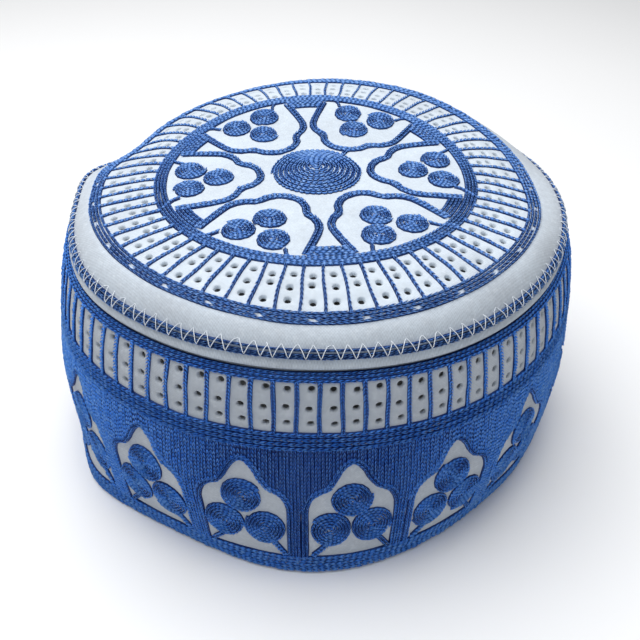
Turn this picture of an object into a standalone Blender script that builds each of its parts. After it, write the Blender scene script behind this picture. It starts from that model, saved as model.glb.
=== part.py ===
"""Kufi: a round cap of stiffened white cotton with a blue embroidered crown and side band.

Metres, +Z up. The origin is on the floor under the middle of the cap, and -Y is the front.
Every piece is laid on one cloth surface, which runs down each meridian from the middle of the
crown to the base. A place on it is an azimuth (degrees, 0 at the front, positive to the right)
and a station (the way down from the crown's middle, in shares of the spoke ring's radius).
"""

import math

import bmesh
import bpy
import numpy as np
from mathutils import Vector

for old in list(bpy.data.objects):
    bpy.data.objects.remove(old, do_unlink=True)

# Driving sizes
CROWN_HEIGHT = 0.1015      # floor to the middle of the crown
CROWN_X = -0.0005          # the crown's middle lies this far from the middle of the cap
CROWN_Y = 0.0005
RING_RADIUS = 0.079        # outer edge of the ring that closes the spokes
SPOKE_LENGTH = 0.0222      # from that edge in to the ring inside the spokes
INNER_RING_RADIUS = RING_RADIUS - SPOKE_LENGTH
INNER_RING_WIDTH = 0.0047  # where the ring runs behind an arch
INNER_RING_WIDE = 0.0093   # where it fills the space between two arches
OUTER_RING_WIDTH = 0.0045
RIM_MARGIN = 0.0065        # plain cloth between the outer ring and the turn of the crown
RIM_RADIUS = RING_RADIUS + RIM_MARGIN
RIM_DROP = 0.0099          # middle of the crown down to that turn
BELLY_SWELL = 0.0087       # how far the side band swells out beyond the turn
BELLY_RADIUS = RIM_RADIUS + BELLY_SWELL
BASE_TUCK = 0.003          # how far it comes in again where it stands
BASE_RADIUS = BELLY_RADIUS - BASE_TUCK
MEDALLION_RADIUS = 0.0152
CLOTH = 0.0016             # thickness of the stiffened cotton, two layers
THREAD = 0.0009            # height of a chain-stitched field above the cloth
GAP = 0.0003               # clearance between a piece and what it lies on
LAP_GAP = 0.0006           # clearance where two long faces curve past each other
EYELET_RADIUS = 0.0011
EYELET_SIDES = 5
CROWN_EYELET_SHARE = 0.42  # place of an eyelet along its space between two spokes
SIDE_EYELET_SHARE = 0.5    # and between two bars
ARCH_LINE = 0.0027         # width of the line that draws a crown arch
HEM_LIFT = 0.0006          # lower edge of the hem's stitching above the floor
ARCHES_ON_CROWN = 6
ARCHES_ON_SIDE = 17
SPOKES = 64
BARS = 85

# Azimuths: the first spoke, the first bar and the axis of the crown's first arch. The middle of
# an arch of the side lies midway between two bars.
SPOKE_AZIMUTH = 2.25
BAR_AZIMUTH = 0.9
CROWN_ARCH_AZIMUTH = 95.0
SIDE_ARCH_AZIMUTH = BAR_AZIMUTH + 1.5 * 360 / BARS

# The cap's plan and its crown, all the way round. rim, belly and base are shares of the
# three radii; drop, inner and ring are shares of RIM_DROP (drop down, inner and ring up).
PLAN_STEP = 30
PLAN_COLUMNS = ("rim", "belly", "base", "drop", "inner", "ring")
PLAN = (
    (0.98, 0.99, 1.02, 1.07, -0.13, -0.61),
    (0.99, 0.99, 0.98, 1.16, -0.15, -0.54),
    (1.00, 1.00, 0.99, 1.09, -0.18, -0.42),
    (1.02, 1.03, 1.06, 0.91, -0.16, -0.63),
    (1.03, 1.01, 1.02, 0.90, 0.10, -0.18),
    (1.03, 0.99, 0.99, 1.03, 0.40, 0.30),
    (1.01, 0.98, 0.98, 1.15, 0.50, 0.31),
    (0.98, 0.98, 0.97, 1.17, 0.35, -0.10),
    (0.97, 0.99, 0.99, 0.98, 0.02, -0.60),
    (0.97, 1.02, 1.02, 0.70, -0.20, -0.62),
    (1.00, 1.03, 1.06, 1.01, -0.22, -0.41),
    (0.99, 1.01, 0.99, 1.02, -0.16, -0.43),
)

# The way down a meridian. down is a share of the side's height, from the rim to the floor;
# belly is how far the radius has gone from the rim's to the belly's, base from there to the base's.
WALL_COLUMNS = ("station", "down", "belly", "base")
WALL = {
    "rim": (1.090, 0.000, 0.00, 0.00),
    "edge_braid_end": (1.135, 0.030, 0.14, 0.00),
    "ledge": (1.170, 0.064, 0.25, 0.00),
    "top_braid_end": (1.215, 0.100, 0.35, 0.00),
    "bars_middle": (1.320, 0.190, 0.57, 0.00),
    "bars_end": (1.445, 0.283, 0.71, 0.00),
    "border_end": (1.530, 0.355, 0.79, 0.00),
    "belly": (1.810, 0.590, 1.00, 0.00),
    "lower_wall": (2.040, 0.797, 1.00, 0.35),
    "base": (2.270, 1.000, 1.00, 1.00),
}
DOME_SHARE = 0.28     # of the rise to the inner ring, reached half way there
MARGIN_STATION = 1.045
MARGIN_OUT = 0.58     # shares of the way out and down to the turn, reached at that station
MARGIN_DOWN = 0.36
CROWN_EDGE_STATION = 1.166
EDGE_BRAID_STATION = 1.129
TOP_BRAID_STATION = 1.178
HEM_STATION = 2.155
HEM_END_STATION = 2.266

# Soft dents and swellings in the cloth. out is a share of BELLY_RADIUS, up of CROWN_HEIGHT;
# the spreads are the half widths of each bump.
DENT_COLUMNS = ("azimuth", "azimuth_spread", "station", "station_spread", "out", "up")
DENTS = {
    "back_left_fold": (246, 11, 1.09, 0.22, -0.012, -0.020),
    "back_left_corner": (262, 9, 1.12, 0.20, 0.022, 0.000),
    "left_hollow": (288, 22, 1.36, 0.20, -0.009, 0.000),
    "left_corner": (304, 9, 2.22, 0.18, 0.022, 0.000),
    "left_pinch": (298, 8, 2.08, 0.10, -0.008, 0.000),
    "front_left_step": (352, 7, 1.20, 0.08, 0.006, 0.004),
    "front_right_flat": (40, 12, 2.25, 0.20, -0.010, 0.000),
    "right_rim_corner": (112, 8, 1.06, 0.12, 0.010, -0.010),
}

# Half of a crown arch: places along its axis and out from it, in shares of the clear radius
# inside the inner ring
CROWN_ARCH = (
    (0.920, 0.366),
    (0.720, 0.340),
    (0.614, 0.314),
    (0.549, 0.253),
    (0.518, 0.181),
    (0.445, 0.141),
    (0.393, 0.077),
    (0.376, 0.000),
)

# Half of a side arch's opening: azimuth from its middle (degrees) and station of its edge
SIDE_ARCH = (
    (0.0, 1.612),
    (3.4, 1.735),
    (8.65, 1.845),
)


def around(column, azimuth):
    """Value of a PLAN column at an azimuth, on a smooth closed curve through its rows."""
    place = (azimuth % 360) / PLAN_STEP
    row = int(place)
    f = place - row
    index = PLAN_COLUMNS.index(column)
    p0, p1, p2, p3 = (PLAN[(row + k) % len(PLAN)][index] for k in (-1, 0, 1, 2))
    return p1 + 0.5 * f * (p2 - p0 + f * (2 * p0 - 5 * p1 + 4 * p2 - p3 + f * (3 * (p1 - p2) + p3 - p0)))


def meridian(azimuth):
    """Stations, radii and heights of the cloth down one meridian."""
    rim = RIM_RADIUS * around("rim", azimuth)
    belly = BELLY_RADIUS * around("belly", azimuth)
    base = BASE_RADIUS * around("base", azimuth)
    inner = CROWN_HEIGHT + RIM_DROP * around("inner", azimuth)
    ring = CROWN_HEIGHT + RIM_DROP * around("ring", azimuth)
    rim_height = CROWN_HEIGHT - RIM_DROP * around("drop", azimuth)
    inner_station = INNER_RING_RADIUS / RING_RADIUS
    rows = [
        (0.0, 0.0, CROWN_HEIGHT),
        (0.5 * inner_station, 0.5 * INNER_RING_RADIUS, CROWN_HEIGHT + (inner - CROWN_HEIGHT) * DOME_SHARE),
        (inner_station, INNER_RING_RADIUS, inner),
        (1.0, RING_RADIUS, ring),
        (MARGIN_STATION, RING_RADIUS + (rim - RING_RADIUS) * MARGIN_OUT,
         ring + (rim_height - ring) * MARGIN_DOWN),
    ]
    for station, down, to_belly, to_base in WALL.values():
        radius = rim + (belly - rim) * to_belly + (base - belly) * to_base
        rows.append((station, radius, rim_height * (1 - down)))
    return np.array(rows).T


def through(stations, values, station):
    """Smooth curve through the values of a meridian's stations, which never overshoots them."""
    i = int(np.clip(np.searchsorted(stations, station) - 1, 0, len(stations) - 2))
    width = np.diff(stations)
    slope = np.diff(values) / width

    def tangent(k):
        if k == 0:
            return slope[0]
        if k == len(stations) - 1:
            return slope[-1]
        before, after = slope[k - 1], slope[k]
        if before * after <= 0:
            return 0.0
        near = 2 * width[k] + width[k - 1]
        far = width[k] + 2 * width[k - 1]
        return (near + far) / (near / before + far / after)

    t = (station - stations[i]) / width[i]
    a, b = values[i], values[i + 1]
    ta, tb = tangent(i) * width[i], tangent(i + 1) * width[i]
    return a + t * (ta + t * (3 * (b - a) - 2 * ta - tb + t * (2 * (a - b) + ta + tb)))


def cloth(azimuth, station):
    """Point on the outer face of the cloth."""
    stations, radii, heights = meridian(azimuth)
    radius = through(stations, radii, station)
    height = through(stations, heights, station)
    for middle, spread, at, reach, out, up in DENTS.values():
        turn = (azimuth - middle + 180) % 360 - 180
        push = math.exp(-((turn / spread) ** 2) - ((station - at) / reach) ** 2)
        radius += out * BELLY_RADIUS * push
        height += up * CROWN_HEIGHT * push
    angle = math.radians(azimuth)
    return Vector((CROWN_X + radius * math.sin(angle), CROWN_Y - radius * math.cos(angle), height))


def lifted(azimuth, station, lift):
    """Point at a height above the cloth's outer face, along the face's normal."""
    step = 0.004
    turn = 0.5
    here = cloth(azimuth, station)
    if station < step:
        return here + Vector((0, 0, lift))
    low = max(station - step, 0.0)
    high = min(station + step, WALL["base"][0])
    down = cloth(azimuth, high) - cloth(azimuth, low)
    along = cloth(azimuth + turn, station) - cloth(azimuth - turn, station)
    return here + lift * down.cross(along).normalized()


def tucked(station):
    """Lift of the side band's outer face, which slips under the crown panel at its top."""
    below = (CROWN_EDGE_STATION, WALL["top_braid_end"][0])
    return float(np.interp(station, below, (-(CLOTH + LAP_GAP), 0.0)))


def on_cloth(x, y, lift):
    """Point over the crown at plan coordinates from its middle, +X to the right, +Y to the back."""
    radius = math.hypot(x, y)
    return lifted(math.degrees(math.atan2(x, -y)), radius / RING_RADIUS, lift)


def finish(name, bm, colour, roughness):
    """Turns a bmesh into a named, smooth-shaded object with its own material."""
    bmesh.ops.recalc_face_normals(bm, faces=bm.faces)
    mesh = bpy.data.meshes.new(name)
    bm.to_mesh(mesh)
    bm.free()
    mesh.shade_smooth()
    mesh.set_sharp_from_angle(angle=math.radians(40))
    material = bpy.data.materials.new(name)
    material.use_nodes = True
    shader = material.node_tree.nodes["Principled BSDF"]
    shader.inputs["Base Color"].default_value = (*colour, 1)
    shader.inputs["Roughness"].default_value = roughness
    shader.inputs["Metallic"].default_value = 0.0
    mesh.materials.append(material)
    thing = bpy.data.objects.new(name, mesh)
    bpy.context.collection.objects.link(thing)
    return thing


WHITE = (0.80, 0.84, 0.88)
GREY_WHITE = (0.66, 0.69, 0.70)
BLUE = (0.06, 0.16, 0.47)
COTTON_ROUGHNESS = 0.8
THREAD_ROUGHNESS = 0.62


def pierce(bm, corners, station_share, share_across):
    """Fills a four-cornered cell around an eyelet and gives back the eyelet's edge, in order.

    The corners run top left, top right, bottom right, bottom left; the shares place the eyelet.
    """
    top_left, top_right, low_right, low_left = (v.co.copy() for v in corners)

    def place(across, down):
        return top_left.lerp(top_right, across).lerp(low_left.lerp(low_right, across), down)

    width = (place(1, station_share) - place(0, station_share)).length
    depth = (place(share_across, 1) - place(share_across, 0)).length
    turns = [2 * math.pi * k / EYELET_SIDES for k in range(EYELET_SIDES)]
    hole = []
    for turn in turns:
        across = share_across + EYELET_RADIUS * math.cos(turn) / width
        down = station_share - EYELET_RADIUS * math.sin(turn) / depth
        hole.append((turn, bm.verts.new(place(across, down))))
    frame = []
    for across, down, vert in zip((0, 1, 1, 0), (0, 0, 1, 1), corners):
        turn = math.atan2((station_share - down) * depth, (across - share_across) * width)
        frame.append((turn % (2 * math.pi), vert))
    frame.sort(key=lambda pair: pair[0])
    i = j = 0
    while i < len(frame) or j < len(hole):
        outer, inner = frame[i % len(frame)][1], hole[j % len(hole)][1]
        next_outer = frame[(i + 1) % len(frame)]
        next_inner = hole[(j + 1) % len(hole)]
        outer_turn = next_outer[0] + 2 * math.pi * ((i + 1) // len(frame))
        inner_turn = next_inner[0] + 2 * math.pi * ((j + 1) // len(hole))
        if j >= len(hole) or (i < len(frame) and outer_turn <= inner_turn):
            bm.faces.new((outer, next_outer[1], inner))
            i += 1
        else:
            bm.faces.new((outer, next_inner[1], inner))
            j += 1
    return [vert for _, vert in hole]


def evenly(columns, first):
    """Azimuths of evenly spaced columns, from the first one on."""
    return [first + 360 * c / columns for c in range(columns)]


def shell(azimuths, rows, thickness, closed_top=False, eyelets=None):
    """Closed sheet of cloth all the way round: rows are (station, lift) down the meridian.

    eyelets, where given, is (row, share of the cell from its top, list of columns).
    """
    bm = bmesh.new()
    columns = len(azimuths)
    faces = []
    for depth in (0.0, -thickness):
        faces.append([[bm.verts.new(lifted(a, s, lift + depth)) for a in azimuths] for s, lift in rows])
    last = rows[-1][0]
    if last == WALL["base"][0]:
        for side in faces:
            for vert in side[-1]:
                vert.co.z = 0.0
    poles = [bm.verts.new(lifted(0, 0, d)) for d in (0.0, -thickness)] if closed_top else None
    for number, side in enumerate(faces):
        for r in range(len(rows) - 1):
            for c in range(columns):
                n = (c + 1) % columns
                if eyelets and r == eyelets[0] and c in eyelets[2]:
                    continue
                bm.faces.new((side[r][c], side[r][n], side[r + 1][n], side[r + 1][c]))
        if closed_top:
            for c in range(columns):
                bm.faces.new((poles[number], side[0][c], side[0][(c + 1) % columns]))
    ends = [-1] if closed_top else [0, -1]
    for end in ends:
        for c in range(columns):
            n = (c + 1) % columns
            bm.faces.new((faces[0][end][c], faces[0][end][n], faces[1][end][n], faces[1][end][c]))
    if eyelets:
        row, share, pierced = eyelets
        for c in pierced:
            n = (c + 1) % columns
            edges = []
            for side in faces:
                corners = (side[row][c], side[row][n], side[row + 1][n], side[row + 1][c])
                edges.append(pierce(bm, corners, share, 0.5))
            for k in range(EYELET_SIDES):
                m = (k + 1) % EYELET_SIDES
                bm.faces.new((edges[0][k], edges[0][m], edges[1][m], edges[1][k]))
    return bm


def braid(name, places, on_side=False, on_floor=False):
    """Raised band of stitching all the way round: places are (azimuth, first station, last station).

    on_side lays it on the side band, tucked top and all. on_floor ends it just above the floor.
    """
    bm = bmesh.new()
    loops = []
    for azimuth, top, low in places:
        corners = ((top, GAP), (top, GAP + THREAD), (low, GAP + THREAD), (low, GAP))
        under = [tucked(s) if on_side else 0.0 for s, _ in corners]
        loop = [lifted(azimuth, s, rise + lift) for (s, rise), lift in zip(corners, under)]
        loops.append([bm.verts.new(point) for point in loop])
        if on_floor:
            for vert in loops[-1][2:]:
                vert.co.z = HEM_LIFT
    for here, there in zip(loops, loops[1:] + loops[:1]):
        for k in range(4):
            m = (k + 1) % 4
            bm.faces.new((here[k], there[k], there[m], here[m]))
    return finish(name, bm, BLUE, THREAD_ROUGHNESS)


def crown_panel():
    """Round top of the cap, with its plain margin and one eyelet in each space between spokes."""
    inner = INNER_RING_RADIUS / RING_RADIUS
    stations = (0.5 * inner, inner, 1.0, MARGIN_STATION, WALL["rim"][0], WALL["edge_braid_end"][0],
                CROWN_EDGE_STATION)
    rows = [(s, 0.0) for s in stations]
    eyelets = (1, CROWN_EYELET_SHARE, range(SPOKES))
    bm = shell(evenly(SPOKES, SPOKE_AZIMUTH), rows, CLOTH, closed_top=True, eyelets=eyelets)
    return finish("crown_panel", bm, WHITE, COTTON_ROUGHNESS)


def side_band():
    """Wall of the cap. Its top edge is tucked under the crown panel's margin."""
    stations = [WALL["rim"][0], CROWN_EDGE_STATION]
    stations += [WALL[place][0] for place in ("top_braid_end", "bars_end", "belly", "lower_wall", "base")]
    rows = [(s, tucked(s)) for s in stations]
    eyelets = (2, SIDE_EYELET_SHARE, range(0, BARS, 2))
    bm = shell(evenly(BARS, BAR_AZIMUTH), rows, CLOTH, eyelets=eyelets)
    return finish("side_band", bm, GREY_WHITE, COTTON_ROUGHNESS)


def arch_clear():
    """Radius of the round space inside the inner ring that the crown's arches stand in."""
    return INNER_RING_RADIUS - INNER_RING_WIDTH - 2 * GAP


def inner_ring():
    """Ring inside the spokes, which fills the space between the feet of two arches."""
    half_pitch = 180 / ARCHES_ON_CROWN
    wide = INNER_RING_RADIUS - INNER_RING_WIDE
    foot, shoulder = (Vector(p) * arch_clear() for p in CROWN_ARCH[:2])
    share = (wide - shoulder.length) / (foot.length - shoulder.length)
    side = shoulder.lerp(foot, min(max(share, 0), 1))
    side_turn = math.degrees(math.atan2(side.y + ARCH_LINE / 2 + 2 * GAP, side.x))
    fill = max(half_pitch - side_turn, 0.5)
    step = 0.12 * fill
    places = []
    for arch in range(ARCHES_ON_CROWN):
        middle = CROWN_ARCH_AZIMUTH + (2 * arch + 1) * half_pitch
        rest = [fill + step + (half_pitch - fill - step) * k / 5 for k in range(6)]
        turns = [-t for t in reversed(rest[:-1])] + [-fill, 0.0, fill] + rest
        for turn in turns:
            width = INNER_RING_WIDE if abs(turn) <= fill else INNER_RING_WIDTH
            start = (INNER_RING_RADIUS - width) / RING_RADIUS
            places.append((middle + turn, start, INNER_RING_RADIUS / RING_RADIUS))
    return braid("crown_inner_ring", places)


def medallion():
    """Spiral-stitched disc in the middle of the crown."""
    bm = bmesh.new()
    sides = 24
    loops = []
    for share, rise in ((0.55, GAP), (1.0, GAP), (1.0, GAP + THREAD), (0.55, GAP + THREAD)):
        radius = share * MEDALLION_RADIUS
        turns = [2 * math.pi * k / sides for k in range(sides)]
        circle = [(radius * math.cos(t), radius * math.sin(t)) for t in turns]
        loops.append([bm.verts.new(on_cloth(x, y, rise)) for x, y in circle])
    for a, b in zip(loops, loops[1:]):
        for k in range(sides):
            m = (k + 1) % sides
            bm.faces.new((a[k], a[m], b[m], b[k]))
    for loop, rise in ((loops[0], GAP), (loops[-1], GAP + THREAD)):
        pole = bm.verts.new(on_cloth(0, 0, rise))
        for k in range(sides):
            bm.faces.new((pole, loop[k], loop[(k + 1) % sides]))
    return finish("crown_medallion", bm, BLUE, THREAD_ROUGHNESS)


def crown_arch(number):
    """Line of two stitched rows that draws one arch of the crown."""
    half = [Vector(p) * arch_clear() for p in CROWN_ARCH]
    path = half + [Vector((p.x, -p.y)) for p in reversed(half[:-1])]
    azimuth = math.radians(CROWN_ARCH_AZIMUTH + 360 * number / ARCHES_ON_CROWN)
    axis = Vector((math.sin(azimuth), -math.cos(azimuth)))
    across = Vector((-axis.y, axis.x))
    bm = bmesh.new()
    loops = []
    for k, point in enumerate(path):
        before, after = path[max(k - 1, 0)], path[min(k + 1, len(path) - 1)]
        run = (after - before).normalized()
        side = Vector((-run.y, run.x)) * ARCH_LINE / 2
        loop = []
        for place, rise in ((point - side, GAP), (point + side, GAP),
                            (point + side, GAP + THREAD), (point - side, GAP + THREAD)):
            plan = axis * place.x + across * place.y
            loop.append(bm.verts.new(on_cloth(plan.x, plan.y, rise)))
        loops.append(loop)
    for a, b in zip(loops, loops[1:]):
        for k in range(4):
            m = (k + 1) % 4
            bm.faces.new((a[k], b[k], b[m], a[m]))
    bm.faces.new(loops[0])
    bm.faces.new(loops[-1])
    return finish(f"crown_arch_{number + 1}", bm, BLUE, THREAD_ROUGHNESS)


def side_arcade():
    """Stitched field of the side: a deep border under the bars, and the piers between its arches."""
    top = WALL["bars_end"][0]
    foot = HEM_STATION - 2 * GAP / RING_RADIUS
    pitch = 360 / ARCHES_ON_SIDE
    half = [(-turn, station) for turn, station in reversed(SIDE_ARCH[1:])] + list(SIDE_ARCH)
    middle_of_pier = (pitch / 2, half[-1][1])
    places = []
    for arch in range(ARCHES_ON_SIDE):
        for turn, head in half + [middle_of_pier]:
            places.append((SIDE_ARCH_AZIMUTH + pitch * arch + turn, head))
    bm = bmesh.new()
    faces = []
    for rise in (LAP_GAP + THREAD, LAP_GAP):
        columns = []
        for azimuth, head in places:
            rows = (top, 0.5 * (top + head), head, foot)
            columns.append([bm.verts.new(lifted(azimuth, s, rise)) for s in rows])
        faces.append(columns)
    per_arch = len(half) + 1
    count = len(places)

    def stitched(column, row):
        """Whether a cell is solid: below its head, only the two columns of the pier are."""
        return row < 2 or column % per_arch >= per_arch - 2

    for c in range(count):
        n = (c + 1) % count
        for r in range(3):
            if stitched(c, r):
                for side in faces:
                    bm.faces.new((side[c][r], side[n][r], side[n][r + 1], side[c][r + 1]))
            if stitched(c, r) != stitched((c - 1) % count, r):
                bm.faces.new((faces[0][c][r], faces[0][c][r + 1], faces[1][c][r + 1], faces[1][c][r]))
        for r in range(4):
            above = r > 0 and stitched(c, r - 1)
            below = r < 3 and stitched(c, r)
            if above != below:
                bm.faces.new((faces[0][c][r], faces[0][n][r], faces[1][n][r], faces[1][c][r]))
    for vert in [v for v in bm.verts if not v.link_faces]:
        bm.verts.remove(vert)
    return finish("side_arcade", bm, BLUE, THREAD_ROUGHNESS)


crown_panel()
side_band()
medallion()
inner_ring()
spokes = evenly(SPOKES, SPOKE_AZIMUTH)
bars = evenly(BARS, BAR_AZIMUTH)
braid("crown_outer_ring", [(a, (RING_RADIUS - OUTER_RING_WIDTH) / RING_RADIUS, 1.0) for a in spokes])
braid("crown_edge_braid", [(a, WALL["rim"][0], EDGE_BRAID_STATION) for a in spokes])
for arch_number in range(ARCHES_ON_CROWN):
    crown_arch(arch_number)
top_braid_end = WALL["top_braid_end"][0]
braid("side_top_braid", [(a, TOP_BRAID_STATION, top_braid_end) for a in bars], on_side=True)
side_arcade()
braid("hem_braid", [(a, HEM_STATION, HEM_END_STATION) for a in bars], on_floor=True)
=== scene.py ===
"""Kufi: a round white cotton cap, chain-stitched in blue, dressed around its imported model.

The two cloths come first, then every stitched row in the order in which the cap is sewn: the crown
from its middle outwards, and the side from its top border down to the hem. Metres, +Z up, -Y front.
"""

import math

import bmesh
import bpy
import numpy as np
from mathutils import Matrix, Vector


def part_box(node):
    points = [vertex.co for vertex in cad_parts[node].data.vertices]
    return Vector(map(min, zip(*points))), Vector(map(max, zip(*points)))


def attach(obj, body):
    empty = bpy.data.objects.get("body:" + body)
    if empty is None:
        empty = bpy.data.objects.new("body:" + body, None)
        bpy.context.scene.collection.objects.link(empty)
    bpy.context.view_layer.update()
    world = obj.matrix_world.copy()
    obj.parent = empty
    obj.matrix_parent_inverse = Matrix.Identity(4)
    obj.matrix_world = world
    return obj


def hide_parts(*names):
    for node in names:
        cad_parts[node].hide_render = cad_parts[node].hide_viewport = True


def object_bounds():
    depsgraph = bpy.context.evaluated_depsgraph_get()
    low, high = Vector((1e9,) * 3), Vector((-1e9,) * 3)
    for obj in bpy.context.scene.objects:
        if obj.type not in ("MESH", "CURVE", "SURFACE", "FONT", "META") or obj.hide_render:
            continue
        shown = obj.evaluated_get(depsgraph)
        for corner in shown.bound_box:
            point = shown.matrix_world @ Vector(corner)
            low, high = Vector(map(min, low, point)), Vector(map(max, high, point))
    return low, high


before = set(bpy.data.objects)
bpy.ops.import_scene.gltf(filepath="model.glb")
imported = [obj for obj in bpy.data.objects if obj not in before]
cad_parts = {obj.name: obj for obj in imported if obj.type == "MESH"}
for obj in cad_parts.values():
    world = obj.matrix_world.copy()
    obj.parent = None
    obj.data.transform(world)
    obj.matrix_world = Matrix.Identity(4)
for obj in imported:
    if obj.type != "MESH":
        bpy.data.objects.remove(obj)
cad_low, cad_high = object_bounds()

# Camera
# The cap is seen from straight in front and above, from 27 cm off the crown's middle.
# The crown's middle is a little lower than its highest place.
CROWN_HEIGHT = 0.9428 * (cad_high.z - cad_low.z)
CAMERA_BACK, CAMERA_UP = 0.243918, 0.12633
medallion_low, medallion_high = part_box("crown_medallion")
CROWN_X = 0.5 * (medallion_low.x + medallion_high.x)
CROWN_Y = 0.5 * (medallion_low.y + medallion_high.y)


def linked(name, data):
    """A new object in the scene."""
    made = bpy.data.objects.new(name, data)
    bpy.context.collection.objects.link(made)
    return made


camera = linked("camera", bpy.data.cameras.new("camera"))
camera.data.lens = 42.93
camera.data.sensor_width = 36.0
camera.data.clip_start = 0.01
turn = Matrix((
    (0.99996698, -0.00511769, -0.0063128),
    (-0.00178274, 0.61973972, -0.78480539),
    (0.00792868, 0.78479073, 0.61971014),
))
stand = Matrix.Translation((CROWN_X, CROWN_Y - CAMERA_BACK, CROWN_HEIGHT + CAMERA_UP))
camera.matrix_world = stand @ turn.to_4x4()
bpy.context.scene.camera = camera

# Crown cloth
# The round top: two layers of bleached cotton, starched stiff, with three punched eyelets in every
# space between the spokes. Its edge is turned down over the side and rounded by wear.
ring_low, ring_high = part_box("crown_inner_ring")
RING_RADIUS = 1.391 * 0.5 * (ring_high.x - ring_low.x)
RIM_RADIUS = 1.0823 * RING_RADIUS
BELLY_RADIUS = 1.1924 * RING_RADIUS
BASE_RADIUS = 1.1544 * RING_RADIUS
INNER_RING = 0.719
RIM_DROP = 0.0975 * CROWN_HEIGHT
CLOTH = 0.0016
LAP_GAP = 0.0006
SPOKES = 64
FIRST_SPOKE = 2.25
EDGE_OF_CROWN = 1.166
MIDDLE_OF_MARGIN = 1.045
DOME_SHARE = 0.28  # of the rise to the inner ring, halfway out to it
MARGIN_OUT, MARGIN_DOWN = 0.58, 0.36  # of the way from ring to rim, at the middle of the margin
PUFF, CREASE = 0.00024, 0.00005  # height of the cloth's swelling between lines, and of its creases

# The plan every 30 degrees from the front: shares of the rim's, belly's and base's radius, and
# of RIM_DROP for the rim (down), the inner ring and the spoke ring (up)
PLAN = np.array((
    (0.98, 0.99, 1.02, 1.07, -0.13, -0.61),
    (0.99, 0.99, 0.98, 1.16, -0.15, -0.54),
    (1.00, 1.00, 0.99, 1.09, -0.18, -0.42),
    (1.02, 1.03, 1.06, 0.91, -0.16, -0.63),
    (1.03, 1.01, 1.02, 0.90, 0.10, -0.18),
    (1.03, 0.99, 0.99, 1.03, 0.40, 0.30),
    (1.01, 0.98, 0.98, 1.15, 0.50, 0.31),
    (0.98, 0.98, 0.97, 1.17, 0.35, -0.10),
    (0.97, 0.99, 0.99, 0.98, 0.02, -0.60),
    (0.97, 1.02, 1.02, 0.70, -0.20, -0.62),
    (1.00, 1.03, 1.06, 1.01, -0.22, -0.41),
    (0.99, 1.01, 0.99, 1.02, -0.16, -0.43),
))

# The way down a meridian: station, share of the side's height, and how far the radius has gone
# from rim to belly and from belly to base
WALL = np.array((
    (1.090, 0.000, 0.00, 0.00),
    (1.135, 0.030, 0.14, 0.00),
    (1.170, 0.064, 0.25, 0.00),
    (1.215, 0.100, 0.35, 0.00),
    (1.320, 0.190, 0.57, 0.00),
    (1.445, 0.283, 0.71, 0.00),
    (1.530, 0.355, 0.79, 0.00),
    (1.810, 0.590, 1.00, 0.00),
    (2.040, 0.797, 1.00, 0.35),
    (2.270, 1.000, 1.00, 1.00),
))
BASE = 2.270
NEAR = 0.004  # stations either side of a place, to find its slope

# Soft dents: azimuth and its spread, station and its spread, out (of the belly) and up (of the crown)
DENTS = (
    (246, 11, 1.09, 0.22, -0.012, -0.020),
    (262, 9, 1.12, 0.20, 0.022, 0.000),
    (288, 22, 1.36, 0.20, -0.009, 0.000),
    (304, 9, 2.22, 0.18, 0.022, 0.000),
    (298, 8, 2.08, 0.10, -0.008, 0.000),
    (352, 7, 1.20, 0.08, 0.006, 0.004),
    (40, 12, 2.25, 0.20, -0.010, 0.000),
    (112, 8, 1.06, 0.12, 0.010, -0.010),
)


def around(azimuths):
    """The PLAN's columns at each azimuth, on a smooth closed curve through its rows."""
    place = (azimuths % 360) / 30
    row = place.astype(int) % len(PLAN)
    f = (place - place.astype(int))[:, None]
    before, here, there, after = (PLAN[(row + k) % len(PLAN)] for k in (-1, 0, 1, 2))
    bend = 2 * before - 5 * here + 4 * there - after + f * (3 * (here - there) + after - before)
    return (here + 0.5 * f * (there - before + f * bend)).T


def smooth_through(stations, values, at):
    """Smooth curve through each column of values, which never overshoots them."""
    width = np.diff(stations)
    slope = np.diff(values, axis=0) / width[:, None]
    near = (2 * width[1:] + width[:-1])[:, None]
    far = (width[1:] + 2 * width[:-1])[:, None]
    before, after = slope[:-1], slope[1:]
    same = before * after > 0
    shares = near / np.where(same, before, 1) + far / np.where(same, after, 1)
    inside = np.where(same, (near + far) / shares, 0)
    tangent = np.vstack((slope[:1], inside, slope[-1:]))
    i = np.clip(np.searchsorted(stations, at) - 1, 0, len(stations) - 2)
    k = np.arange(len(at))
    t = (at - stations[i]) / width[i]
    a, b = values[i, k], values[i + 1, k]
    ta, tb = tangent[i, k] * width[i], tangent[i + 1, k] * width[i]
    return a + t * (ta + t * (3 * (b - a) - 2 * ta - tb + t * (2 * (a - b) + ta + tb)))


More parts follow.
